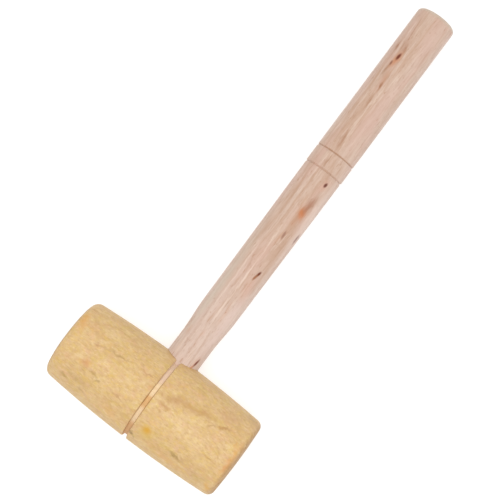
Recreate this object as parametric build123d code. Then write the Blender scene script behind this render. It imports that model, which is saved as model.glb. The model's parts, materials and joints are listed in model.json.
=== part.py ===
from build123d import *
import math
import os

# A turned wooden carving mallet with a barrel-shaped head, lying on its side on a flat surface.
#
# The head is turned along X and has a striking face at each end.  The handle runs out of its belly
# towards +Y and slopes down until its end touches the surface too.  The origin is on the surface,
# under the middle of the whole mallet, and +Z is up.
#
# Each piece is first made square: the head's axis is X, the handle's axis is Y, and the two cross at
# (0, 0, 0).  lay_down() then puts it in the resting pose.

# ---- Head ------------------------------------------------------------------------------------
head_length = 130.0
belly_diameter = 60.0  # at the handle, before the groove is cut
small_face_inset = 3.1  # how far the barrel's side comes in from the belly to the -X end
large_face_inset = 2.5  # the same to the +X end
small_face_rounding = 4.8
large_face_rounding = 4.7

# The groove round the head, whose middle is a little to one side of the handle's axis.
groove_place = -0.65
groove_width = 3.4
groove_floor_width = 2.4
groove_depth = 2.3
groove_lip_rounding = 0.8

# ---- Socket in the head for the handle ---------------------------------------------------------
socket_diameter = 23.0  # the drill bit's size
socket_depth = 42.0  # from the belly, so that the far side of the head stays whole

# ---- Handle ----------------------------------------------------------------------------------
glue_gap = 0.1  # radial room for glue between the tenon and the socket
neck_reach = 12.8  # straight stretch outside the belly, the same size as the tenon
flare_length = 27.2
shaft_start_diameter = 25.1
shaft_length = 106.5  # from the flare to the middle of the first ring
shaft_end_diameter = 26.4
band_length = 12.5  # between the middles of the two rings
grip_length = 109.3  # from the middle of the second ring to the end
grip_diameter = 26.9
end_rounding = 2.8
end_dome = 0.5

# The two rings cut round the handle where the grip begins.
ring_width = 1.5
ring_depth = 0.75

# ---- Tenon and its hidden wedge ----------------------------------------------------------------
tenon_end_gap = 1.0  # between the tenon's end and the bottom of the socket
tenon_chamfer = 0.8
kerf_width = 1.4  # the saw cut that the wedge is driven into
kerf_past_wedge = 5.0  # how far the cut runs on past the wedge's tip
wedge_length = 25.0
wedge_base_thickness = 3.6
wedge_side_room = 1.1  # from the wedge's narrow sides to the outside of the tenon
flute_count = 4  # shallow channels along the tenon that let air and spare glue out
flute_radius = 0.8
flute_depth = 0.45
flute_stop = 6.0  # how far under the belly the flutes end

# ---- Worked out from the sizes above -----------------------------------------------------------
half_head = head_length / 2
belly_radius = belly_diameter / 2
socket_radius = socket_diameter / 2
tenon_radius = socket_radius - glue_gap
socket_bottom = belly_radius - socket_depth
tenon_end = socket_bottom + tenon_end_gap
flare_start = belly_radius + neck_reach
shaft_start = flare_start + flare_length
first_ring = shaft_start + shaft_length
second_ring = first_ring + band_length
handle_end = second_ring + grip_length
grip_radius = grip_diameter / 2

# The barrel's outline is one arc through the belly and the two face edges.
crown = ThreePointArc(
    (-half_head, belly_radius - small_face_inset),
    (0, belly_radius),
    (half_head, belly_radius - large_face_inset),
)
crest_radius = crown.arc_center.Y + crown.radius  # the widest place, a little off the middle


def crown_radius(x):
    """The barrel's radius at x, on the crown's arc."""
    return crown.arc_center.Y + math.sqrt(crown.radius**2 - (x - crown.arc_center.X) ** 2)


def crown_span(x_from, x_to):
    """The stretch of the crown's arc between two places along the head."""
    x_between = (x_from + x_to) / 2
    return ThreePointArc(*((x, crown_radius(x)) for x in (x_from, x_between, x_to)))


def round_corner(sketch, corner, radius):
    """Rounds the sketch's corner nearest to the given point."""
    nearest = sketch.vertices().sort_by_distance((*corner, 0))[0]
    return fillet(nearest, radius)


def along_handle(radius, start, end):
    """A round bar on the handle's axis."""
    return Pos(0, (start + end) / 2, 0) * Rot(X=90) * Cylinder(radius, end - start)


def head_blank():
    """The turned barrel with its groove, before the socket is drilled."""
    near_lip, far_lip = groove_place - groove_width / 2, groove_place + groove_width / 2
    floor_radius = belly_radius - groove_depth
    groove = Polyline(
        (near_lip, crown_radius(near_lip)),
        (groove_place - groove_floor_width / 2, floor_radius),
        (groove_place + groove_floor_width / 2, floor_radius),
        (far_lip, crown_radius(far_lip)),
    )
    outline = make_face(
        [
            Line((-half_head, 0), (-half_head, crown_radius(-half_head))),
            crown_span(-half_head, near_lip),
            *groove.edges(),
            crown_span(far_lip, half_head),
            Line((half_head, crown_radius(half_head)), (half_head, 0)),
            Line((half_head, 0), (-half_head, 0)),
        ]
    )
    outline = round_corner(outline, (-half_head, crown_radius(-half_head)), small_face_rounding)
    outline = round_corner(outline, (half_head, crown_radius(half_head)), large_face_rounding)
    for side in (near_lip, far_lip):
        outline = round_corner(outline, (side, crown_radius(side)), groove_lip_rounding)
    return revolve(outline, Axis.X)


def socket():
    """The blind hole that the handle is glued into, long enough to clear the barrel's surface."""
    return along_handle(socket_radius, socket_bottom, crest_radius)


def ring(middle, radius_before, radius_after):
    """The V-shaped nick of one ring in the handle's outline."""
    bottom = min(radius_before, radius_after) - ring_depth
    return Polyline(
        (radius_before, middle - ring_width / 2),
        (bottom, middle),
        (radius_after, middle + ring_width / 2),
    ).edges()


def handle_blank():
    """The turned handle with its straight tenon, before the kerf and the flutes are cut."""
    shaft_start_radius = shaft_start_diameter / 2
    shaft_end_radius = shaft_end_diameter / 2
    flare_middle = ((tenon_radius + shaft_start_radius) / 2, (flare_start + shaft_start) / 2)
    outline = make_face(
        [
            Line((0, tenon_end), (tenon_radius - tenon_chamfer, tenon_end)),
            Line((tenon_radius - tenon_chamfer, tenon_end), (tenon_radius, tenon_end + tenon_chamfer)),
            Line((tenon_radius, tenon_end + tenon_chamfer), (tenon_radius, flare_start)),
            TangentArc((tenon_radius, flare_start), flare_middle, tangent=(0, 1)),
            TangentArc((shaft_start_radius, shaft_start), flare_middle, tangent=(0, -1)),
            Line((shaft_start_radius, shaft_start), (shaft_end_radius, first_ring - ring_width / 2)),
            *ring(first_ring, shaft_end_radius, grip_radius),
            Line(
                (grip_radius, first_ring + ring_width / 2),
                (grip_radius, second_ring - ring_width / 2),
            ),
            *ring(second_ring, grip_radius, grip_radius),
            Line((grip_radius, second_ring + ring_width / 2), (grip_radius, handle_end - end_dome)),
            TangentArc((0, handle_end), (grip_radius, handle_end - end_dome), tangent=(1, 0)),
            Line((0, handle_end), (0, tenon_end)),
        ]
    )
    outline = round_corner(outline, (grip_radius, handle_end - end_dome), end_rounding)
    return revolve(outline, Axis.Y)


def wedge_taper():
    """The wedge's side outline: thick end on the bottom of the socket, thin end as wide as the kerf."""
    tip = socket_bottom + wedge_length
    return [
        (-wedge_base_thickness / 2, socket_bottom),
        (-kerf_width / 2, tip),
        (kerf_width / 2, tip),
        (wedge_base_thickness / 2, socket_bottom),
    ]


def fox_wedge():
    """The hidden wedge, which the bottom of the socket drives into the kerf as the handle goes home."""
    wedge_width = 2 * (tenon_radius - wedge_side_room)
    return extrude(make_face(Polyline(wedge_taper(), close=True)), wedge_width / 2, both=True)


def kerf():
    """The saw cut along the tenon, opened by the wedge as far as its tip."""
    left_base, left_tip, right_tip, right_base = wedge_taper()
    top = left_tip[1] + kerf_past_wedge
    opened = Polyline(
        left_base,
        left_tip,
        (left_tip[0], top),
        (right_tip[0], top),
        right_tip,
        right_base,
        close=True,
    )
    return extrude(make_face(opened), socket_radius, both=True)


def flutes():
    """The glue channels: round bars half sunk in the tenon, between its end and just under the belly."""
    out_from_axis = tenon_radius + flute_radius - flute_depth
    bar = Pos(X=out_from_axis) * along_handle(flute_radius, tenon_end, belly_radius - flute_stop)
    first_turn = 180 / flute_count
    return [Rot(Y=first_turn + turn * 360 / flute_count) * bar for turn in range(flute_count)]


def resting_tilt():
    """The handle's slope in degrees when the barrel's crest and the rounded handle end touch a plane.

    The end's rounding is a ring of small circles.  The lowest circle's centre is `reach` along the
    handle and `offset` below its axis, and it stands its own radius above the plane.
    """
    reach = handle_end - end_dome - end_rounding
    offset = grip_radius - end_rounding
    drop = crest_radius - end_rounding
    return math.degrees(math.asin(drop / math.hypot(reach, offset)) - math.atan2(offset, reach))


def main():
    blank = head_blank()
    bore = socket()
    wedge = fox_wedge()
    tenoned_handle = handle_blank() - kerf() - flutes()
    pieces = {
        "barrel_head": blank - bore,
        "handle": tenoned_handle,
        "fox_wedge": wedge,
        "glue_line": (bore & blank) - tenoned_handle - wedge,
    }

    # Tilt the mallet about the head's axis, then slide it so that the origin is under its middle.
    tilt = Rot(X=-resting_tilt())
    box = Compound([tilt * pieces["barrel_head"], tilt * pieces["handle"]]).bounding_box()
    lay_down = Pos(-box.center().X, -box.center().Y, -box.min.Z) * tilt

    os.makedirs("parts", exist_ok=True)
    for name, piece in pieces.items():
        export_step(lay_down * piece, f"parts/{name}.step")

    crossing = (lay_down * Pos(0, 0, 0)).position
    print("head and handle axes cross at", tuple(round(c, 4) for c in crossing))
    print("handle slopes down by", round(resting_tilt(), 4), "degrees")


main()
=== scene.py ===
import json
import math

import bmesh
import bpy
from mathutils import Matrix, Vector


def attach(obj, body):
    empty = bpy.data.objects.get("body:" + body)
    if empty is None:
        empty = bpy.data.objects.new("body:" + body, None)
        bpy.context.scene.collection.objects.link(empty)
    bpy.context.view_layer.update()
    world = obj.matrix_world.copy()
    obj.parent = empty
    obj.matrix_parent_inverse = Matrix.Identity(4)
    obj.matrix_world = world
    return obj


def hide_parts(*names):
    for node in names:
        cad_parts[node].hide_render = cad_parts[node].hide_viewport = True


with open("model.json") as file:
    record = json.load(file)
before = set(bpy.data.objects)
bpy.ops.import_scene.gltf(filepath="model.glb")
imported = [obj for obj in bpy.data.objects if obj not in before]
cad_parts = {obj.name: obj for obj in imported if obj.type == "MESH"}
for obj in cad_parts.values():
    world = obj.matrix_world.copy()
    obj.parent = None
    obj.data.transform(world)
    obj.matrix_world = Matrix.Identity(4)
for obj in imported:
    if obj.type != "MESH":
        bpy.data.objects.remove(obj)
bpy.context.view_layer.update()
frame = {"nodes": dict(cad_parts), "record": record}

# ---- How the mallet lies -----------------------------------------------------------------------
# The mallet rests on its side on the floor, on the belly of its head and the end of its handle.
# Each wooden piece is made square, in millimetres, with the head along X, the handle along Y and the
# crossing of their axes at (0, 0, 0).  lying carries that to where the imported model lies.
mounts = {mount["name"]: mount for mount in frame["record"]["mounts"]}
small_face = Vector(mounts["small_face"]["pos_m"])
large_face = Vector(mounts["large_face"]["pos_m"])
crossing = (small_face + large_face) / 2
handle_slope = math.asin(-mounts["grip"]["axis"][2])
millimetre = 0.001
lying = (
    Matrix.Translation(crossing) @ Matrix.Rotation(-handle_slope, 4, "X") @ Matrix.Scale(millimetre, 4)
)


# ---- Barrel head -------------------------------------------------------------------------------
# The head is one block of pale yellow hardwood, turned along its grain to a barrel and sanded.  A
# parting tool cut the groove round its middle, and the handle's socket was drilled there from the side.
half_head = (large_face - small_face).length / 2 / millimetre
belly_radius = 30.0
small_face_inset = 3.1  # how far the side comes in from the belly to the -X face
large_face_inset = 2.5
small_face_rounding = 4.8
large_face_rounding = 4.7
small_face_wear = 0.0  # how far use has worn the face back towards its rim
large_face_wear = 0.7
groove_place = -0.65  # the groove's middle, a little to one side of the handle's axis
groove_width = 3.4
groove_floor_width = 2.4
groove_depth = 2.3
groove_lip_easing = 0.7
socket_radius = 11.5
socket_bottom = -12.0  # along the handle's axis


def circle_through(first, second, third):
    """The centre and the radius of the circle through three points of a plane."""
    (ax, ay), (bx, by), (cx, cy) = first, second, third
    turn = 2 * (ax * (by - cy) + bx * (cy - ay) + cx * (ay - by))
    a, b, c = ax**2 + ay**2, bx**2 + by**2, cx**2 + cy**2
    centre_x = (a * (by - cy) + b * (cy - ay) + c * (ay - by)) / turn
    centre_y = (a * (cx - bx) + b * (ax - cx) + c * (bx - ax)) / turn
    return centre_x, centre_y, math.hypot(ax - centre_x, ay - centre_y)


crown_x, crown_y, crown_sweep = circle_through(
    (-half_head, belly_radius - small_face_inset),
    (0, belly_radius),
    (half_head, belly_radius - large_face_inset),
)


def crown_radius(x):
    """The barrel's radius at x along the head: one long arc from face to face."""
    return crown_y + math.sqrt(crown_sweep**2 - (x - crown_x) ** 2)


def stretch(start, end, step):
    """Evenly spaced values from start to end, no further apart than step."""
    count = max(1, math.ceil(abs(end - start) / step))
    return [start + (end - start) * i / count for i in range(count + 1)]


def eased(corners, easing, pieces=4):
    """The line through the corners, with each inner corner cut back by its easing and curved over."""
    line = [corners[0]]
    for before, corner, after in zip(corners, corners[1:], corners[2:]):
        corner = Vector(corner)
        start = corner + (Vector(before) - corner).normalized() * easing
        end = corner + (Vector(after) - corner).normalized() * easing
        for i in range(pieces + 1):
            t = i / pieces
            line.append(tuple(start * (1 - t) ** 2 + corner * 2 * t * (1 - t) + end * t**2))
    return line + [corners[-1]]


def face_and_rounding(side, rounding, wear):
    """The slightly worn face from its centre outwards, then its rounded edge as far as the side."""
    centre_place = side * (half_head - wear - rounding)
    centre_radius = crown_y + math.sqrt((crown_sweep - rounding) ** 2 - (centre_place - crown_x) ** 2)
    side_angle = math.atan2(centre_radius - crown_y, centre_place - crown_x)
    face_angle = 0 if side > 0 else math.pi
    face = [
        (side * (half_head - wear * (radius / centre_radius) ** 2), radius)
        for radius in stretch(0, centre_radius, 1.2)
    ]
    edge = [
        (centre_place + rounding * math.cos(angle), centre_radius + rounding * math.sin(angle))
        for angle in stretch(face_angle, side_angle, math.radians(9))
    ]
    return face + edge[1:]


def head_outline():
    """The barrel's outline from the middle of one face, over the belly, to the middle of the other."""
    floor_radius = belly_radius - groove_depth
    ends = []
    for side, rounding, wear in (
        (-1, small_face_rounding, small_face_wear),
        (1, large_face_rounding, large_face_wear),
    ):
        lip = groove_place + side * groove_width / 2
        floor = groove_place + side * groove_floor_width / 2
        shoulder = lip + side * 2 * groove_lip_easing
        wall = [(shoulder, crown_radius(shoulder)), (lip, crown_radius(lip)), (floor, floor_radius)]
        face = face_and_rounding(side, rounding, wear)
        barrel_side = [(x, crown_radius(x)) for x in stretch(face[-1][0], shoulder, 1.0)]
        ends.append(face + barrel_side[1:-1] + eased(wall, groove_lip_easing))
    return ends[0] + [(groove_place, floor_radius)] + ends[1][::-1]


def node(tree, kind, inputs=None, **settings):
    """Adds a node, with each input given as a value or as the output that feeds it."""
    made = tree.nodes.new(kind)
    for name, value in settings.items():
        setattr(made, name, value)
    for socket, value in (inputs or {}).items():
        if isinstance(value, bpy.types.NodeSocket):
            tree.links.new(value, made.inputs[socket])
        else:
            made.inputs[socket].default_value = value
    return made


def sum_of(tree, operation, *values):
    """A Math node's result."""
    return node(tree, "ShaderNodeMath", dict(enumerate(values)), operation=operation).outputs[0]


def tree_inputs(tree, shape, kinds):
    """Gives a Geometry Nodes tree one output, and a shape and these kinds of inputs, which it returns."""
    tree.interface.new_socket(shape, in_out="INPUT", socket_type="NodeSocketGeometry")
    for name, kind in kinds.items():
        tree.interface.new_socket(name, in_out="INPUT", socket_type="NodeSocket" + kind)
    tree.interface.new_socket("Made", in_out="OUTPUT", socket_type="NodeSocketGeometry")
    return node(tree, "NodeGroupInput").outputs


def end_with_material(tree, shape, material):
    """Ends a Geometry Nodes tree with one real mesh of this material."""
    real = node(tree, "GeometryNodeRealizeInstances", {"Geometry": shape}).outputs[0]
    done = node(tree, "GeometryNodeSetMaterial", {"Geometry": real, "Material": material}).outputs[0]
    node(tree, "NodeGroupOutput", {0: done})


seam_gap = 0.004  # points of the spun mesh nearer than this are one point
dent_share = 0.45  # of the places where use could leave a dent
dent_middle = 0.05  # where a dent's bottom ends and its rim is, in parts of the dents' spacing
dent_rim = 0.3


def lathe_tree():
    """Spins an outline about X, leaves the slight unevenness of sanding and use, and makes the cuts."""
    tree = bpy.data.node_groups.new("turned_wood", "GeometryNodeTree")
    kinds = {
        "Steps Around": "Int",
        "Sanding Unevenness": "Float",
        "Sanding Patch": "Float",
        "Dent Depth": "Float",
        "Dent Spacing": "Float",
        "Cuts": "Object",
        "Wood": "Material",
    }
    given = tree_inputs(tree, "Outline", kinds)

    # One column of the grid for each step round, one row for each point of the outline.
    rows = node(tree, "GeometryNodeAttributeDomainSize", {0: given["Outline"]}).outputs["Point Count"]
    grid = node(
        tree,
        "GeometryNodeMeshGrid",
        {"Vertices X": sum_of(tree, "ADD", given["Steps Around"], 1.0), "Vertices Y": rows},
    ).outputs["Mesh"]
    index = node(tree, "GeometryNodeInputIndex").outputs[0]
    row = sum_of(tree, "MODULO", index, rows)
    column = sum_of(tree, "FLOOR", sum_of(tree, "DIVIDE", index, rows))
    angle = sum_of(tree, "MULTIPLY", sum_of(tree, "DIVIDE", column, given["Steps Around"]), math.tau)
    place = node(tree, "GeometryNodeInputPosition").outputs[0]
    point = node(
        tree,
        "GeometryNodeSampleIndex",
        {"Geometry": given["Outline"], "Value": place, "Index": row},
        data_type="FLOAT_VECTOR",
    ).outputs[0]
    along, radius, _ = node(tree, "ShaderNodeSeparateXYZ", {0: point}).outputs
    spun = node(
        tree,
        "ShaderNodeCombineXYZ",
        {
            0: along,
            1: sum_of(tree, "MULTIPLY", radius, sum_of(tree, "COSINE", angle)),
            2: sum_of(tree, "MULTIPLY", radius, sum_of(tree, "SINE", angle)),
        },
    ).outputs[0]
    shell = node(tree, "GeometryNodeSetPosition", {"Geometry": grid, "Position": spun}).outputs[0]
    closed = node(
        tree, "GeometryNodeMergeByDistance", {"Geometry": shell, "Distance": seam_gap}
    ).outputs[0]

    # Sanding leaves broad low places, and use leaves a few shallow dents.
    per_patch = sum_of(tree, "DIVIDE", 1.0, given["Sanding Patch"])
    patches = node(
        tree,
        "ShaderNodeTexNoise",
        {"Vector": place, "Scale": per_patch, "Detail": 2.0, "Roughness": 0.45},
    ).outputs[0]
    high = sum_of(tree, "MULTIPLY", sum_of(tree, "SUBTRACT", patches, 0.5), given["Sanding Unevenness"])
    per_dent = sum_of(tree, "DIVIDE", 1.0, given["Dent Spacing"])
    dent = node(tree, "ShaderNodeTexVoronoi", {"Vector": place, "Scale": per_dent, "Randomness": 1.0})
    chosen = node(tree, "ShaderNodeSeparateXYZ", {0: dent.outputs["Color"]}).outputs[0]
    hollow = node(
        tree,
        "ShaderNodeMapRange",
        {
            "Value": dent.outputs["Distance"],
            "From Min": dent_middle,
            "From Max": dent_rim,
            "To Min": 1.0,
            "To Max": 0.0,
        },
        interpolation_type="SMOOTHSTEP",
    ).outputs[0]
    struck = sum_of(tree, "MULTIPLY", hollow, sum_of(tree, "GREATER_THAN", chosen, 1 - dent_share))
    low = sum_of(tree, "MULTIPLY", struck, given["Dent Depth"])
    lift = sum_of(tree, "SUBTRACT", high, low)
    outwards = node(tree, "GeometryNodeInputNormal").outputs[0]
    offset = node(
        tree, "ShaderNodeVectorMath", {0: outwards, "Scale": lift}, operation="SCALE"
    ).outputs[0]
    used = node(tree, "GeometryNodeSetPosition", {"Geometry": closed, "Offset": offset}).outputs[0]

    cutter = node(tree, "GeometryNodeObjectInfo", {"Object": given["Cuts"]}).outputs["Geometry"]
    cut = node(tree, "GeometryNodeMeshBoolean", operation="DIFFERENCE", solver="EXACT")
    tree.links.new(used, cut.inputs["Mesh 1"])
    tree.links.new(cutter, cut.inputs["Mesh 2"])
    end_with_material(tree, cut.outputs["Mesh"], given["Wood"])
    return tree


def mesh_object(name, points, edges=(), faces=()):
    """A new object with this mesh, in the scene."""
    mesh = bpy.data.meshes.new(name)
    mesh.from_pydata([tuple(point) for point in points], edges, faces)
    made = bpy.data.objects.new(name, mesh)
    bpy.context.scene.collection.objects.link(made)
    return made


doubles_apart = 0.002  # corners that the cuts leave nearer than this are one corner
sharp_edge = math.radians(38)


def grown(name, start, tree, values, place):
    """The plain mesh that a Geometry Nodes tree grows from the start object, moved to its place."""
    step = start.modifiers.new(tree.name, "NODES")
    step.node_group = tree
    for socket in tree.interface.items_tree:
        if socket.name in values:
            step[socket.identifier] = values[socket.name]
    evaluated = start.evaluated_get(bpy.context.evaluated_depsgraph_get())
    mesh = bpy.data.meshes.new_from_object(evaluated)
    start.modifiers.remove(step)
    mesh.name = name
    shape = bmesh.new()
    shape.from_mesh(mesh)
    bmesh.ops.remove_doubles(shape, verts=shape.verts, dist=doubles_apart)
    bmesh.ops.recalc_face_normals(shape, faces=shape.faces)
    shape.to_mesh(mesh)
    shape.free()
    mesh.transform(place)
    mesh.shade_smooth()
    mesh.set_sharp_from_angle(angle=sharp_edge)
    piece = bpy.data.objects.new(name, mesh)
    bpy.context.scene.collection.objects.link(piece)
    bpy.data.objects.remove(start)
    return piece


def turned(name, outline, values, cuts, place):
    """A piece spun from its outline about X, less the cuts."""
    chain = [(i, i + 1) for i in range(len(outline) - 1)]
    start = mesh_object(name + "_outline", [(along, radius, 0) for along, radius in outline], chain)
    piece = grown(name, start, turned_wood, {**values, "Cuts": cuts}, place)
    bpy.data.objects.remove(cuts)
    return piece


def prism(outline, low, high):
    """The points and faces of a block with this outline in X and Y, from low to high in Z."""
    count = len(outline)
    points = [(x, y, z) for z in (low, high) for x, y in outline]
    sides = [(i, (i + 1) % count, (i + 1) % count + count, i + count) for i in range(count)]
    return points, sides + [tuple(range(count))[::-1], tuple(range(count, 2 * count))]


def rod(radius, low, high, sides=96):
    """The points and faces of a round bar along Z."""
    angles = [math.tau * i / sides for i in range(sides)]
    return prism([(radius * math.cos(a), radius * math.sin(a)) for a in angles], low, high)


def display(red, green, blue):
    """A colour given as it shows on a screen, 0 to 255, as the linear colour that materials take."""
    return tuple(
        (part / 255 / 12.92) if part < 10.3 else ((part / 255 + 0.055) / 1.055) ** 2.4
        for part in (red, green, blue)
    ) + (1.0,)


def new_finish(name):
    """A new material, its tree and its shader, and the place on the mallet: square, in millimetres."""
    material = bpy.data.materials.new(name)
    material.use_nodes = True
    tree = material.node_tree
    shader = tree.nodes["Principled BSDF"]
    at = node(tree, "ShaderNodeTexCoord").outputs["Object"]
    square = node(
        tree,
        "ShaderNodeMapping",
        {
            "Vector": at,
            "Location": crossing,
            "Rotation": (-handle_slope, 0, 0),
            "Scale": (millimetre,) * 3,
        },
        vector_type="TEXTURE",
    ).outputs[0]
    return material, tree, shader, square


def vector_of(tree, operation, *values):
    """A Vector Math node's result."""
    return node(tree, "ShaderNodeVectorMath", dict(enumerate(values)), operation=operation).outputs[0]


def ramp(tree, value, low, high, start=0.0, end=1.0):
    """A smooth rise from start to end as the value goes from low to high."""
    inputs = {"Value": value, "From Min": low, "From Max": high, "To Min": start, "To Max": end}
    return node(tree, "ShaderNodeMapRange", inputs, interpolation_type="SMOOTHSTEP").outputs[0]


def cloud(tree, at, per_mm, detail, roughness, seed):
    """Noise about 0.5, with its own fineness along each axis."""
    scaled = vector_of(tree, "MULTIPLY_ADD", at, per_mm, (seed, 1.7 * seed, 2.3 * seed))
    inputs = {"Vector": scaled, "Scale": 1.0, "Detail": detail, "Roughness": roughness}
    return node(tree, "ShaderNodeTexNoise", inputs)


def mixed(tree, amount, first, second):
    """The first colour with the second laid over it by this amount."""
    made = node(tree, "ShaderNodeMix", data_type="RGBA", clamp_factor=True)
    for socket, value in zip((made.inputs[0], made.inputs[6], made.inputs[7]), (amount, first, second)):
        if isinstance(value, bpy.types.NodeSocket):
            tree.links.new(value, socket)
        else:
            socket.default_value = value
    return made.outputs[2]


def warped(tree, at, per_mm, shift, seed):
    """The place moved about by noise of this fineness, by up to about half the shift."""
    noise = cloud(tree, at, per_mm, 3.0, 0.6, seed).outputs[1]
    centred = vector_of(tree, "SUBTRACT", noise, (0.5, 0.5, 0.5))
    return vector_of(tree, "MULTIPLY_ADD", centred, shift, at)


def grain(tree, along, pith, ring_spacing, waviness, curl, fibre_length):
    """What wood shows when its grain runs along X: rings and rays about the pith, fibres and pores.

    The late wood is the darker outside of each year's ring.  The rays are thin lines across the rings.
    """
    reach_of_rays = math.hypot(*pith)
    wavy = warped(tree, along, (0.011, 0.04, 0.04), (0, waviness, waviness), 3.0)
    wavy = warped(tree, wavy, (0.12, 0.16, 0.16), (curl, curl, curl), 14.0)
    from_pith = vector_of(tree, "SUBTRACT", wavy, (0, *pith))
    flat = vector_of(tree, "MULTIPLY", from_pith, (0, 1, 1))
    reach = node(tree, "ShaderNodeVectorMath", {0: flat}, operation="LENGTH").outputs["Value"]
    year = sum_of(tree, "FRACT", sum_of(tree, "DIVIDE", reach, ring_spacing))
    late = sum_of(tree, "MULTIPLY", ramp(tree, year, 0.25, 0.88), ramp(tree, year, 0.9, 1.0, 1.0, 0.0))
    pores = cloud(tree, wavy, (0.25, 2.4, 2.4), 1.0, 0.5, 5.0).outputs[0]
    _, sideways, upwards = node(tree, "ShaderNodeSeparateXYZ", {0: from_pith}).outputs
    bearing = sum_of(tree, "MULTIPLY", sum_of(tree, "ARCTAN2", upwards, sideways), reach_of_rays)
    spokes = node(tree, "ShaderNodeCombineXYZ", {0: bearing, 1: reach}).outputs[0]
    rays = cloud(tree, spokes, (1.6, 0.05, 0), 2.0, 0.6, 10.0).outputs[0]
    per_fibre = 1 / fibre_length
    return {
        "wavy": wavy,
        "late": late,
        "rays": ramp(tree, rays, 0.55, 0.7, 0.0, 0.6),
        "fibre": cloud(tree, wavy, (per_fibre, 1.0, 1.0), 4.0, 0.65, 1.0).outputs[0],
        "streak": cloud(tree, wavy, (per_fibre / 2, 0.3, 0.3), 3.0, 0.55, 2.0).outputs[0],
        "pores": ramp(tree, pores, 0.6, 0.72),
    }


def layered(tree, colour, layers):
    """The colour under layers of (pattern, where it starts, where it is full, amount, colour)."""
    for pattern, starts, full, amount, shade in layers:
        colour = mixed(tree, ramp(tree, pattern, starts, full, 0.0, amount), colour, display(*shade))
    return colour


def tinted(tree, colour, pattern, amount, shade):
    """The colour with this much of a pattern's own colour over it."""
    return mixed(tree, sum_of(tree, "MULTIPLY", pattern, amount), colour, display(*shade))


def roughen(tree, shader, relief, depth, strength):
    """The finest relief on a surface, this deep in metres."""
    bump = node(tree, "ShaderNodeBump", {"Height": relief, "Distance": depth, "Strength": strength})
    tree.links.new(bump.outputs[0], shader.inputs["Normal"])


stain_depth = 6.0  # how far into the wood a stain goes


def stain(tree, at, start, end, width, height, hard=0.0):
    """How far inside a stain a place is: a long blob from start to end, at this height in the wood.

    Its rim is soft, and sharper the nearer hard is to 1.
    """
    (x0, y0), (x1, y1) = start, end
    inputs = {
        "Vector": at,
        "Location": ((x0 + x1) / 2, (y0 + y1) / 2, height),
        "Rotation": (0, 0, math.atan2(y1 - y0, x1 - x0)),
        "Scale": (math.hypot(x1 - x0, y1 - y0) / 2 + width / 2, width / 2, stain_depth),
    }
    inside = node(tree, "ShaderNodeMapping", inputs, vector_type="TEXTURE").outputs[0]
    reach = node(tree, "ShaderNodeVectorMath", {0: inside}, operation="LENGTH").outputs["Value"]
    return ramp(tree, reach, 1.3 - 0.15 * hard, 0.6 * hard)


def stained(tree, at, colour, stains, height_at, hard=0.0):
    """The colour with each stain laid over it: (start, end, width, amount, stain colour)."""
    for start, end, width, amount, shade in stains:
        height = height_at((start[0] + end[0]) / 2, (start[1] + end[1]) / 2)
        inside = stain(tree, at, start, end, width, height, hard)
        colour = tinted(tree, colour, inside, amount, shade)
    return colour


turned_wood = lathe_tree()
head_wood, tree, shader, square = new_finish("pale_yellow_hardwood")
head_pith = (14, -62)  # where the tree's own middle would be, across and up from the head's axis
seen = grain(tree, square, head_pith, ring_spacing=3.4, waviness=9.0, curl=3.0, fibre_length=3.3)
x, y, _ = node(tree, "ShaderNodeSeparateXYZ", {0: square}).outputs
across = vector_of(tree, "MULTIPLY", square, (0, 1, 1))
from_axis = node(tree, "ShaderNodeVectorMath", {0: across}, operation="LENGTH").outputs["Value"]
from_groove = sum_of(tree, "ABSOLUTE", sum_of(tree, "SUBTRACT", x, groove_place))

# Straw wood in cream, tan, olive and pinkish drifts that follow the grain.
drifts = cloud(tree, seen["wavy"], (0.07, 0.14, 0.14), 4.0, 0.65, 4.0).outputs[0]
wood = mixed(tree, ramp(tree, drifts, 0.34, 0.64), display(214, 178, 123), display(221, 188, 134))
olive_drift = cloud(tree, seen["wavy"], (0.14, 0.22, 0.22), 4.0, 0.65, 8.0).outputs[0]
pink_drift = cloud(tree, seen["wavy"], (0.14, 0.22, 0.22), 4.0, 0.65, 9.0).outputs[0]

# Small clouds, brown to cream and golden to pink, lie where the wood took up more or less finish.
mottle = cloud(tree, square, (0.35, 0.55, 0.55), 3.0, 0.6, 15.0).outputs[0]
gold = cloud(tree, square, (0.3, 0.45, 0.45), 3.0, 0.6, 17.0).outputs[0]
wood_clouds = [
    (olive_drift, 0.48, 0.64, 0.6, (212, 180, 102)),
    (pink_drift, 0.48, 0.66, 0.6, (220, 174, 130)),
    (mottle, 0.5, 0.72, 0.48, (198, 156, 102)),
    (mottle, 0.48, 0.3, 0.4, (232, 203, 156)),
    (gold, 0.52, 0.68, 0.55, (222, 184, 102)),
    (gold, 0.47, 0.33, 0.5, (216, 178, 140)),
]
wood = layered(tree, wood, wood_clouds)

# Over them come the soft rings, short wavy fibres, dark and light, and the pores.
wood = tinted(tree, wood, seen["late"], 0.16, (198, 160, 106))
head_fibres = [
    (seen["streak"], 0.54, 0.72, 0.35, (202, 162, 108)),
    (seen["streak"], 0.44, 0.3, 0.4, (230, 201, 151)),
    (seen["fibre"], 0.52, 0.74, 0.6, (190, 150, 98)),
    (seen["fibre"], 0.46, 0.28, 0.5, (236, 209, 160)),
]
wood = layered(tree, wood, head_fibres)
wood = tinted(tree, wood, seen["pores"], 0.22, (168, 130, 80))

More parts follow.
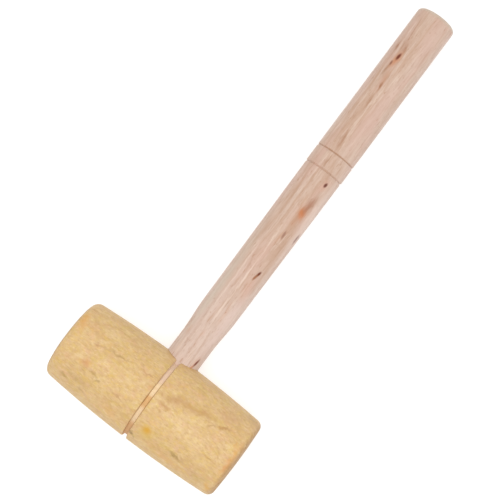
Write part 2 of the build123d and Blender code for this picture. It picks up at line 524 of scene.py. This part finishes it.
# The block's own marks, as (start, end, width, amount, colour): broad tones first, then the finer ones.
olive, brown, rust = (162, 126, 72), (182, 134, 84), (208, 146, 90)
orange, cream = (222, 160, 92), (238, 212, 164)
head_tones = [
    ((-63, 22), (-59, 6), 7, 0.55, orange),
    ((-52, 11), (-50, 8), 6, 0.35, (222, 170, 136)),
    ((-45, -6), (-43, -6), 7, 0.6, rust),
    ((-50, -16), (-38, -19), 6, 0.25, olive),
    ((-44, 17), (-34, 18), 8, 0.3, cream),
    ((-20, -20), (-10, -24), 8, 0.3, orange),
    ((9, 7), (15, 9), 7, 0.55, brown),
    ((14, 11), (28, 10), 6, 0.5, brown),
    ((26, 10), (38, 14), 6, 0.45, brown),
    ((36, 14), (58, 26), 9, 0.4, (202, 158, 118)),
    ((18, -2), (38, 1), 9, 0.15, cream),
    ((30, -6), (50, -12), 8, 0.2, cream),
    ((14, -22), (44, -26), 7, 0.25, orange),
    ((44, -21), (56, -22), 10, 0.2, olive),
    ((61.6, 18), (61.4, -18), 4.5, 0.5, orange),
    ((61.4, -4), (61.2, -8), 3.5, 0.5, rust),
    ((61, 24), (54, 28), 6, 0.5, (186, 148, 108)),
    ((62, -22), (61, -26), 6, 0.5, (192, 148, 96)),
    ((58, -20), (60, -26), 6, 0.6, (222, 168, 84)),
]
head_flecks = [
    ((-40, -8), (-33, -10), 2.2, 0.4, olive),
    ((-33, -12), (-31, -10), 2.2, 0.6, olive),
    ((-54, -20), (-50, -21), 2.2, 0.55, olive),
    ((-43, -21), (-33, -22), 2.0, 0.4, olive),
    ((-48, 6), (-40, 8), 2.2, 0.5, brown),
    ((-42, 8), (-18, 11), 1.6, 0.4, olive),
    ((-16, 11), (-3, 11), 1.4, 0.6, brown),
    ((-24, -10), (-12, -12), 1.4, 0.5, brown),
    ((-4, 6), (-4, 6), 4.0, 0.5, rust),
    ((7, 2), (11, 2), 4.2, 0.7, brown),
    ((7, -2), (11, -3), 2.4, 0.4, brown),
    ((37, 7), (42, 10.5), 1.8, 0.45, olive),
    ((42, 11), (51, 13.5), 2.4, 0.75, brown),
    ((27, -18.5), (38, -19.5), 2.6, 0.65, (154, 120, 64)),
    ((48, -7), (54, -8), 1.6, 0.5, brown),
    ((50, 4), (54, 3), 2.4, 0.4, brown),
    ((57, 12), (60, 6), 2.0, 0.4, rust),
    ((1.5, -23), (4, -25), 2.4, 0.7, (128, 98, 52)),
]


def barrel_top(x, y):
    """The height of the barrel's top side over a place."""
    return math.sqrt(crown_radius(x) ** 2 - y**2)


blotched = warped(tree, square, (0.25, 0.25, 0.25), (7, 5, 0), 6.0)
wood = stained(tree, blotched, wood, head_tones + head_flecks, barrel_top)
# One amber spot lies in its pale halo, with a cleaner edge than the other marks.
amber_marks = [
    ((10, -17), (11, -20), 12, 0.55, (214, 180, 90)),
    ((9.4, -16.6), (10.2, -16.6), 6.5, 0.9, (214, 160, 52)),
]
wood = stained(tree, square, wood, amber_marks, barrel_top)

# The groove was cut after the barrel had been finished, so its floor is bare, paler and pinker in places.
# Its walls and lips are painted brown as painted shade, strongest over the top of the barrel.
floor_edge = groove_floor_width / 2
lip_edge = groove_width / 2
cut_deep = ramp(tree, from_axis, belly_radius - 0.35, belly_radius - 0.9)
bare_wood = display(230, 203, 177)
for start, end, shade in (
    (13, 9, (238, 214, 174)),
    (3, 0, (220, 178, 122)),
    (-5, -9, (232, 206, 168)),
    (-16, -20, (214, 172, 124)),
):
    bare_wood = mixed(tree, ramp(tree, y, start, end), bare_wood, display(*shade))
bare_wood = layered(tree, bare_wood, [(seen["fibre"], 0.5, 0.75, 0.35, (196, 152, 112))])
in_groove = sum_of(tree, "MULTIPLY", cut_deep, ramp(tree, from_groove, lip_edge + 0.5, lip_edge + 0.3))
wood = mixed(tree, in_groove, wood, bare_wood)
past_floor = ramp(tree, from_groove, floor_edge - 0.05, floor_edge + 0.2)
lips = sum_of(tree, "MULTIPLY", past_floor, ramp(tree, from_groove, lip_edge + 0.3, lip_edge))
# Painted shade on the groove's walls and lips, strongest over the top of the barrel.
groove_wall_shade = ramp(tree, sum_of(tree, "ABSOLUTE", y), 10, 26, 0.42, 0.05)
wood = mixed(tree, sum_of(tree, "MULTIPLY", lips, groove_wall_shade), wood, display(174, 130, 82))

# End grain drinks more finish, so the two faces are darker, with the rings and rays showing.  At the
# worn large face it begins on the rounded edge.
small_end = ramp(tree, x, 1.2 - half_head, 0.2 - half_head)
large_end = ramp(tree, x, half_head - 4.2, half_head - 0.9)
end_grain = sum_of(tree, "ADD", small_end, large_end)
end_colour = mixed(tree, seen["late"], display(190, 152, 110), display(168, 128, 84))
end_colour = mixed(tree, seen["rays"], end_colour, display(206, 172, 126))
end_colour = tinted(tree, end_colour, seen["pores"], 0.6, (146, 104, 60))
wood = mixed(tree, sum_of(tree, "MULTIPLY", end_grain, 0.8), wood, end_colour)
tree.links.new(wood, shader.inputs["Base Color"])

# The finish shines a little less between the fibres, on the end grain and on the groove's bare floor.
gloss = ramp(tree, seen["fibre"], 0.3, 0.7, 0.46, 0.6)
gloss = sum_of(tree, "ADD", gloss, sum_of(tree, "MULTIPLY", end_grain, 0.15))
gloss = sum_of(tree, "ADD", gloss, sum_of(tree, "MULTIPLY", in_groove, 0.2))
tree.links.new(gloss, shader.inputs["Roughness"])
shader.inputs["Specular IOR Level"].default_value = 0.35

# The finest relief is fibres, pores and the faint lines of the turning tool round the head.
along_only = vector_of(tree, "MULTIPLY", square, (1, 0, 0))
turning = cloud(tree, along_only, (2.2, 1, 1), 2.0, 0.6, 7.0).outputs[0]
relief = sum_of(tree, "SUBTRACT", sum_of(tree, "MULTIPLY", seen["fibre"], 0.7), seen["pores"])
relief = sum_of(tree, "ADD", relief, sum_of(tree, "MULTIPLY", turning, 0.5))
roughen(tree, shader, relief, 0.00006, 0.8)

socket_above_belly = 5  # how far the drill's cutter stands out of the wood
socket_points, socket_faces = rod(socket_radius, socket_bottom, belly_radius + socket_above_belly)
socket_cut = mesh_object("socket_cut", [(x, z, -y) for x, y, z in socket_points], (), socket_faces)
barrel = turned(
    "barrel_head_turned",
    head_outline(),
    {
        "Steps Around": 288,
        "Sanding Unevenness": 0.22,
        "Sanding Patch": 14.0,
        "Dent Depth": 0.1,
        "Dent Spacing": 17.0,
        "Wood": head_wood,
    },
    socket_cut,
    lying,
)
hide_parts("barrel_head")
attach(barrel, "root")


# ---- Handle ------------------------------------------------------------------------------------
# The handle is one straight-grained pinkish stick, turned thin at the head and swelling to the grip.
# Two V rings mark where the grip begins, and the straight tenon is glued into the head's socket.
glue_gap = 0.1
neck_reach = 12.8
flare_length = 27.2
shaft_start_radius = 12.55
shaft_end_radius = 13.2
shaft_length = 106.5
band_length = 12.5
grip_length = 109.3
grip_radius = mounts["grip"]["dims"]["r_mm"]
end_rounding = 2.8
end_dome = 0.5
ring_width = 1.5
ring_depth = 0.75
ring_lip_easing = 0.25
tenon_end_gap = 1.0
tenon_chamfer = 0.8
tenon_radius = socket_radius - glue_gap
tenon_end = socket_bottom + tenon_end_gap
flare_start = belly_radius + neck_reach
shaft_start = flare_start + flare_length
first_ring = shaft_start + shaft_length
second_ring = first_ring + band_length
handle_end = second_ring + grip_length


def ring(middle, radius_before, radius_after):
    """One V ring's outline, with its lips eased over."""
    half = ring_width / 2
    shoulder = half + 2 * ring_lip_easing
    corners = [
        (middle - shoulder, radius_before),
        (middle - half, radius_before),
        (middle, min(radius_before, radius_after) - ring_depth),
        (middle + half, radius_after),
        (middle + shoulder, radius_after),
    ]
    return eased(corners, ring_lip_easing, 3)


def handle_outline():
    """The handle's outline from the tenon's end to the rounded end of the grip."""
    rise = shaft_start_radius - tenon_radius
    taper = (shaft_end_radius - shaft_start_radius) / shaft_length
    tenon = [(tenon_end, radius) for radius in stretch(0, tenon_radius - tenon_chamfer, 2.5)]
    neck = [(place, tenon_radius) for place in stretch(tenon_end + tenon_chamfer, flare_start, 1.6)]
    flare = []
    for share in stretch(0, 1, 0.05):
        bend = 2 * share**2 if share < 0.5 else 1 - 2 * (1 - share) ** 2
        flare.append((flare_start + share * flare_length, tenon_radius + rise * bend))
    lower_ring = ring(first_ring, shaft_end_radius, grip_radius)
    upper_ring = ring(second_ring, grip_radius, grip_radius)
    shaft = [
        (place, shaft_start_radius + taper * (place - shaft_start))
        for place in stretch(shaft_start, lower_ring[0][0], 1.6)
    ]
    band = [(place, grip_radius) for place in stretch(lower_ring[-1][0], upper_ring[0][0], 1.2)]
    round_start = handle_end - end_dome - end_rounding
    grip = [(place, grip_radius) for place in stretch(upper_ring[-1][0], round_start, 1.6)]
    corner = [
        (round_start + end_rounding * math.sin(turn), grip_radius - end_rounding * (1 - math.cos(turn)))
        for turn in stretch(0, math.radians(86), math.radians(9))
    ]
    flat_radius = corner[-1][1]
    end = [
        (handle_end - (handle_end - corner[-1][0]) * (radius / flat_radius) ** 2, radius)
        for radius in stretch(flat_radius, 0, 1.5)
    ]
    below_rings = tenon + neck + flare[1:] + shaft[1:-1]
    rings = lower_ring + band[1:-1] + upper_ring
    return below_rings + rings + grip[1:] + corner[1:] + end[1:]


def place_on_handle(tree, square):
    """How far along the handle a place is, and the place itself with the handle's axis as X."""
    x, y, z = node(tree, "ShaderNodeSeparateXYZ", {0: square}).outputs
    left = sum_of(tree, "MULTIPLY", x, -1.0)
    return y, node(tree, "ShaderNodeCombineXYZ", {0: y, 1: left, 2: z}).outputs[0]


handle_wood, tree, shader, square = new_finish("pinkish_straight_grained_wood")
y, along = place_on_handle(tree, square)
handle_pith = (34, -46)
seen = grain(tree, along, handle_pith, ring_spacing=2.6, waviness=5.0, curl=1.2, fibre_length=16.0)

# Pale pinkish wood with tan and pink bands, greyer and paler towards the head.
bands = cloud(tree, seen["wavy"], (0.012, 0.2, 0.2), 4.0, 0.6, 11.0).outputs[0]
pinks = cloud(tree, along, (0.025, 0.12, 0.12), 3.0, 0.6, 12.0).outputs[0]
wood = mixed(tree, ramp(tree, bands, 0.38, 0.62), display(209, 182, 164), display(199, 166, 144))
broad_tones = [
    (pinks, 0.45, 0.68, 0.6, (210, 174, 158)),
    (y, 120, 60, 0.65, (217, 195, 182)),
]
wood = layered(tree, wood, broad_tones)

# Over it come the rings, long fine fibres, dark and light, short brown ray flecks, and the pores.
wood = tinted(tree, wood, seen["late"], 0.25, (192, 158, 136))
flecks = cloud(tree, seen["wavy"], (0.3, 1.5, 0.7), 1.0, 0.5, 13.0).outputs[0]
handle_fibres = [
    (seen["streak"], 0.54, 0.72, 0.55, (186, 148, 122)),
    (seen["streak"], 0.44, 0.3, 0.6, (222, 198, 180)),
    (seen["fibre"], 0.52, 0.74, 0.5, (178, 140, 116)),
    (seen["fibre"], 0.46, 0.3, 0.4, (226, 204, 188)),
    (flecks, 0.64, 0.76, 0.5, (172, 124, 94)),
]
wood = layered(tree, wood, handle_fibres)
wood = tinted(tree, wood, seen["pores"], 0.2, (158, 118, 92))

# The stick's own marks, as on the head: tan bands, a knot, dark flecks, and one long rusty streak
# through the grip.
dark, umber, tan = (106, 38, 0), (157, 107, 72), (188, 146, 116)
rust, pink, pale = (192, 122, 76), (212, 176, 162), (234, 212, 196)
handle_tones = [
    ((11, 98), (11, 192), 6, 0.6, (228, 204, 190)),
    ((-8, 130), (-8, 148), 5, 0.4, (222, 198, 182)),
    ((2, 158), (2, 147), 3, 0.5, (190, 146, 116)),
    ((9, 38), (7.6, 29), 3, 0.4, rust),
    ((-7.5, 273), (-6.5, 264), 2.2, 0.5, umber),
    ((-5, 195), (-6, 292), 9, 0.25, tan),
    ((-9, 40), (-9, 125), 7, 0.5, (200, 188, 170)),
    ((6, 250), (5, 195), 11, 0.5, pink),
    ((3, 300), (8, 260), 11, 0.45, pink),
    ((9, 92), (9, 30), 8, 0.65, (226, 202, 192)),
    ((5, 96), (8, 82), 8, 0.25, (208, 150, 118)),
    ((5, 149), (6, 144), 7, 0.8, rust),
    ((5, 148.5), (5.8, 144.5), 4.4, 0.42, (206, 118, 62)),
    ((6, 148), (7, 158), 4.5, 0.7, (158, 100, 66)),
    ((4, 141), (5, 137), 5, 0.2, rust),
    ((3, 122), (5, 134), 4, 0.2, rust),
    ((7, 172), (6.6, 166), 5, 0.4, (216, 160, 138)),
    ((-5.5, 254), (-4.5, 264), 5, 0.8, (196, 130, 90)),
    ((-4, 263), (-5, 272), 2.6, 0.55, umber),
    ((-6.5, 256), (-7, 246), 1.8, 0.5, umber),
    ((-4.2, 250), (-2.5, 238), 3.0, 0.5, (186, 130, 96)),
    ((-3.2, 243), (-2.4, 236), 1.6, 0.8, umber),
    ((-3, 234), (-2.5, 222), 1.6, 0.5, umber),
    ((-2, 206), (-1, 191), 2.0, 0.5, umber),
    ((-1, 187), (-1, 177), 2.2, 0.55, umber),
    ((-9.8, 271), (-9.4, 264), 2.0, 0.75, umber),
    ((-8, 291), (-6, 270), 1.2, 0.45, umber),
    ((1, 60), (1, 82), 1.6, 0.7, pale),
    ((1, 80), (1, 112), 1.5, 0.55, pale),
    ((1, 110), (0, 136), 1.5, 0.5, pale),
    ((-4, 60), (-5, 130), 1.2, 0.45, pale),
    ((4, 79), (5, 57), 2.2, 0.2, rust),
    ((-8, 50), (-8, 44), 2.8, 0.35, rust),
    ((1, 53), (1, 48), 2.4, 0.2, rust),
]


def grip_top(x, _):
    """The height of the handle's top side over a place x to the side of its axis."""
    return math.sqrt(grip_radius**2 - x**2)


wandering = warped(tree, square, (0.4, 0.15, 0.4), (2.4, 5, 0), 6.0)
wood = stained(tree, wandering, wood, handle_tones, grip_top)
# The first two flecks run along the drying check: partly its own dark brown, partly painted shade inside.
handle_flecks = [
    ((9, 37), (8, 30), 1.5, 1.0, (112, 42, 0)),
    ((8, 31), (7, 27), 1.5, 0.8, rust),
    ((7, 102), (6.4, 99), 1.8, 0.95, dark),
    ((6.4, 99.5), (5.6, 95.5), 1.8, 0.85, (152, 92, 52)),
    ((4.4, 131.5), (4.6, 126.5), 1.9, 0.45, dark),
    ((11.9, 136), (11.8, 128), 1.2, 0.6, dark),
    ((7, 170.4), (6.7, 168.4), 2.1, 0.9, (94, 26, 0)),
    ((-4.6, 263.4), (-4.9, 259.4), 2.2, 0.9, (102, 30, 0)),
    ((-6.4, 257), (-6.2, 254.5), 1.5, 0.55, dark),
]
wood = stained(tree, square, wood, handle_flecks, grip_top, 0.6)

# The end of the grip is end grain, darker, with the rings showing, inside a paler worn rim.
worn_rim = ramp(tree, y, handle_end - 3.6, handle_end - 1.8, 0.0, 0.5)
wood = mixed(tree, worn_rim, wood, display(204, 190, 168))
end_grain = ramp(tree, y, handle_end - 1.6, handle_end - 0.3)
end_colour = mixed(tree, seen["late"], display(198, 164, 142), display(172, 132, 106))
end_colour = tinted(tree, end_colour, seen["pores"], 0.6, (134, 94, 68))
wood = mixed(tree, sum_of(tree, "MULTIPLY", end_grain, 0.75), wood, end_colour)

# The bottoms of the V rings are painted darker, the one by the grip more.
for place, ring_darkening in ((first_ring, 0.2), (second_ring, 0.6)):
    off = sum_of(tree, "ABSOLUTE", sum_of(tree, "SUBTRACT", y, place))
    in_ring = ramp(tree, off, ring_width * 0.42, ring_width * 0.1, 0.0, ring_darkening)
    wood = mixed(tree, in_ring, wood, display(166, 120, 86))
tree.links.new(wood, shader.inputs["Base Color"])

# The bare handled wood has a soft bloom instead of a shine.
tree.links.new(ramp(tree, seen["fibre"], 0.3, 0.7, 0.52, 0.68), shader.inputs["Roughness"])
shader.inputs["Specular IOR Level"].default_value = 0.3
shader.inputs["Sheen Weight"].default_value = 0.35
shader.inputs["Sheen Roughness"].default_value = 0.45
relief = sum_of(tree, "SUBTRACT", sum_of(tree, "MULTIPLY", seen["fibre"], 0.8), seen["pores"])
roughen(tree, shader, relief, 0.00005, 0.8)

# The tenon's saw cut is opened to a V by its wedge, and four shallow channels let spare glue out.  A
# short drying check, a crack left when the stick dried, is open in the neck just above the head.
wedge_length = 25.0
wedge_base = 3.6
kerf_width = 1.4
kerf_past_wedge = 5.0
flute_count = 4
flute_radius = 0.8
flute_depth = 0.45
flute_end = belly_radius - 6.0
past_wood = 1  # how far a cutter stands out of the wood, so that it cuts clean through
check_start, check_end = (29.8, 8.0), (37.2, 9.1)  # along the handle and to the side
check_width = 0.7
check_depth = 1.0


def tenon_cuts():
    """The points and faces that are cut out of the tenon, with the handle's axis along X."""
    tip = socket_bottom + wedge_length
    spread = (wedge_base - kerf_width) / 2 / wedge_length
    slot_side = [
        (socket_bottom - past_wood, kerf_width / 2 + spread * (wedge_length + past_wood)),
        (tip, kerf_width / 2),
        (tip + kerf_past_wedge, kerf_width / 2),
    ]
    outline = [(place, -half) for place, half in slot_side] + slot_side[::-1]
    points, faces = prism(outline, -socket_radius - past_wood, socket_radius + past_wood)
    flute_points, flute_faces = rod(flute_radius, socket_bottom - past_wood, flute_end, 24)
    for turn in range(flute_count):
        bearing = math.tau * (turn + 0.5) / flute_count
        out = tenon_radius + flute_radius - flute_depth
        first = len(points)
        for across, up, place in flute_points:
            points.append((place, across + out * math.cos(bearing), up + out * math.sin(bearing)))
        faces += [tuple(corner + first for corner in face) for face in flute_faces]
    return points, faces


def drying_check():
    """The points and faces of the slit: pointed at both ends and widest halfway along."""
    start, end = Vector(check_start), Vector(check_end)
    way = (end - start).normalized()
    to_side = Vector((-way.y, way.x))
    rims = []
    for side in (-1, 1):
        for share in stretch(0, 1, 0.1)[::-side][:-1]:
            out = side * check_width / 2 * math.sin(math.pi * share)
            rims.append(tuple(start.lerp(end, share) + to_side * out))
    middle = (start.y + end.y) / 2
    surface = math.sqrt(tenon_radius**2 - middle**2)
    return prism(rims, surface - check_depth, tenon_radius + past_wood)


cut_points, cut_faces = tenon_cuts()
check_points, check_faces = drying_check()
cut_faces += [tuple(corner + len(cut_points) for corner in face) for face in check_faces]
cut_points += [(place, -across, up) for place, across, up in check_points]
handle_cuts = mesh_object("handle_cuts", cut_points, (), cut_faces)
stick = turned(
    "handle_turned",
    handle_outline(),
    {
        "Steps Around": 144,
        "Sanding Unevenness": 0.14,
        "Sanding Patch": 12.0,
        "Dent Depth": 0.06,
        "Dent Spacing": 15.0,
        "Wood": handle_wood,
    },
    handle_cuts,
    lying @ Matrix.Rotation(math.radians(90), 4, "Z"),
)
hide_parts("handle")
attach(stick, "root")


# ---- Wedge -------------------------------------------------------------------------------------
# A thin hardwood wedge stands in the tenon's saw cut.  The bottom of the socket drove it in as the
# handle went home, and it locks the handle there.  Its grain runs along the handle.
wedge_wood, tree, shader, square = new_finish("brown_hardwood")
_, along = place_on_handle(tree, square)
wedge_pith = (9, 20)
seen = grain(tree, along, wedge_pith, ring_spacing=1.8, waviness=2.0, curl=0.6, fibre_length=8.0)
wood = mixed(tree, seen["late"], display(186, 138, 92), display(150, 104, 62))
wood = layered(tree, wood, [(seen["fibre"], 0.5, 0.75, 0.6, (124, 84, 50))])
tree.links.new(wood, shader.inputs["Base Color"])
tree.links.new(ramp(tree, seen["fibre"], 0.3, 0.7, 0.5, 0.7), shader.inputs["Roughness"])
roughen(tree, shader, seen["fibre"], 0.00005, 0.8)
wedge_slots = frame["nodes"]["fox_wedge"].data.materials
wedge_slots.clear()
wedge_slots.append(wedge_wood)


# ---- Glue --------------------------------------------------------------------------------------
# Amber wood glue fills the gap between the tenon and the socket.  A fine bead of it was squeezed out
# along the saddle-shaped line where the handle enters the barrel, and stops at the groove.
bead_radius = 0.32
bead_unevenness = 0.5
bead_patch = 2.6  # how far apart its thick places are
bead_from_lip = 0.2  # how far from the groove's lip it stops


def glue_material():
    """Dried glue: amber, a little cloudy, with dull dusty places."""
    material, tree, shader, square = new_finish("dried_amber_glue")
    milky = cloud(tree, square, (0.5, 0.5, 0.5), 3.0, 0.6, 21.0).outputs[0]
    colour = mixed(tree, ramp(tree, milky, 0.35, 0.65), display(176, 134, 84), display(206, 170, 122))
    tree.links.new(colour, shader.inputs["Base Color"])
    tree.links.new(ramp(tree, milky, 0.3, 0.7, 0.3, 0.5), shader.inputs["Roughness"])
    roughen(tree, shader, milky, 0.00005, 0.6)
    return material


def bead_tree():
    """Lays an uneven round bead along the start object's edges."""
    tree = bpy.data.node_groups.new("glue_bead", "GeometryNodeTree")
    kinds = {
        "Bead Radius": "Float",
        "Unevenness": "Float",
        "Thick Place Spacing": "Float",
        "Seed": "Float",
        "Glue": "Material",
    }
    given = tree_inputs(tree, "Path", kinds)
    path = node(tree, "GeometryNodeMeshToCurve", {"Mesh": given["Path"]}).outputs[0]
    per_place = sum_of(tree, "DIVIDE", 1.0, given["Thick Place Spacing"])
    noise = node(
        tree,
        "ShaderNodeTexNoise",
        {"W": given["Seed"], "Scale": per_place, "Detail": 2.0},
        noise_dimensions="4D",
    ).outputs[0]
    swing = sum_of(tree, "MULTIPLY", sum_of(tree, "SUBTRACT", noise, 0.5), given["Unevenness"])
    thick = sum_of(tree, "ADD", 1.0, sum_of(tree, "MULTIPLY", swing, 2.0))
    share = node(tree, "GeometryNodeSplineParameter").outputs["Factor"]
    from_end = sum_of(tree, "MULTIPLY", share, sum_of(tree, "SUBTRACT", 1.0, share))
    tapered = sum_of(tree, "MULTIPLY", thick, ramp(tree, from_end, 0.0, 0.03, 0.35, 1.0))
    profile = node(
        tree, "GeometryNodeCurvePrimitiveCircle", {"Resolution": 10, "Radius": given["Bead Radius"]}
    ).outputs[0]
    swept = node(
        tree,
        "GeometryNodeCurveToMesh",
        {"Curve": path, "Profile Curve": profile, "Scale": tapered, "Fill Caps": True},
    ).outputs[0]
    end_with_material(tree, swept, given["Glue"])
    return tree


def saddle_line():
    """The line where the handle enters the barrel, in two stretches that stop at the groove's lips."""
    points, edges = [], []
    for side in (-1, 1):
        lip = groove_place + side * (groove_width / 2 + bead_from_lip)
        widest = math.acos(abs(lip) / socket_radius)
        first = len(points)
        for turn in stretch(-widest, widest, math.radians(2)):
            x = side * socket_radius * math.cos(turn)
            z = socket_radius * math.sin(turn)
            points.append((x, math.sqrt(crown_radius(x) ** 2 - z**2), z))
        edges += [(i, i + 1) for i in range(first, len(points) - 1)]
    return points, edges


glue = glue_material()
line_points, line_edges = saddle_line()
bead = grown(
    "glue_bead",
    mesh_object("glue_bead_path", line_points, line_edges),
    bead_tree(),
    {
        "Bead Radius": bead_radius,
        "Unevenness": bead_unevenness,
        "Thick Place Spacing": bead_patch,
        "Seed": 4.0,
        "Glue": glue,
    },
    lying,
)
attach(bead, "root")
glue_slots = frame["nodes"]["glue_line"].data.materials
glue_slots.clear()
glue_slots.append(glue)


# ---- Floor, light and camera -------------------------------------------------------------------
# The mallet lies on a pale floor that glows softly, as a light table does, under one large lamp in an
# evenly lit white room.  The camera looks almost straight down at it from about a metre up.
floor_half = 6.0
floor_glow = 0.62
room_light = 0.62
lamp_power = 14.6
lamp_width = 1.2
lamp_place = (0.1, -0.1, 1.6)
eye_place = (70.0, 52.0, 1008.0)  # square, in millimetres, as the wooden pieces are made
aim_place = (-7.6, 109.9, 0.0)
focal_length = 116.5
film_width = 36.0
nearest_seen = 0.05
handle_angle = math.radians(53.17)  # the handle's direction in the view, above the horizontal

white = (1, 1, 1, 1)
corners = [(-floor_half, -floor_half), (floor_half, -floor_half)]
corners += [(floor_half, floor_half), (-floor_half, floor_half)]
floor = mesh_object("floor", [(x, y, 0) for x, y in corners], (), [(0, 1, 2, 3)])
floor_paint = bpy.data.materials.new("white_floor")
floor_paint.use_nodes = True
paint = floor_paint.node_tree.nodes["Principled BSDF"].inputs
paint["Base Color"].default_value = (0.5, 0.5, 0.5, 1)
paint["Roughness"].default_value = 0.9
paint["Emission Color"].default_value = white
paint["Emission Strength"].default_value = floor_glow
floor.data.materials.append(floor_paint)

world = bpy.data.worlds.new("studio")
bpy.context.scene.world = world
world.use_nodes = True
room = world.node_tree.nodes["Background"].inputs
room["Color"].default_value = white
room["Strength"].default_value = room_light

lamp = bpy.data.lights.new("overhead_softbox", "AREA")
lamp.shape = "DISK"
lamp.size = lamp_width
lamp.energy = lamp_power
softbox = bpy.data.objects.new("overhead_softbox", lamp)
softbox.location = lamp_place
bpy.context.scene.collection.objects.link(softbox)
bpy.context.scene.view_settings.view_transform = "Standard"

lens = bpy.data.cameras.new("camera")
lens.lens = focal_length
lens.sensor_width = film_width
lens.clip_start = nearest_seen
camera = bpy.data.objects.new("camera", lens)
bpy.context.scene.collection.objects.link(camera)
eye = lying @ Vector(eye_place)
back = (eye - lying @ Vector(aim_place)).normalized()
handle_way = lying.to_3x3() @ Vector((0, 1, 0))
across = (handle_way - back * handle_way.dot(back)).normalized()
right = Matrix.Rotation(-handle_angle, 3, back) @ across
up = back.cross(right)
camera.matrix_world = Matrix.Translation(eye) @ Matrix((right, up, back)).transposed().to_4x4()
bpy.context.scene.camera = camera
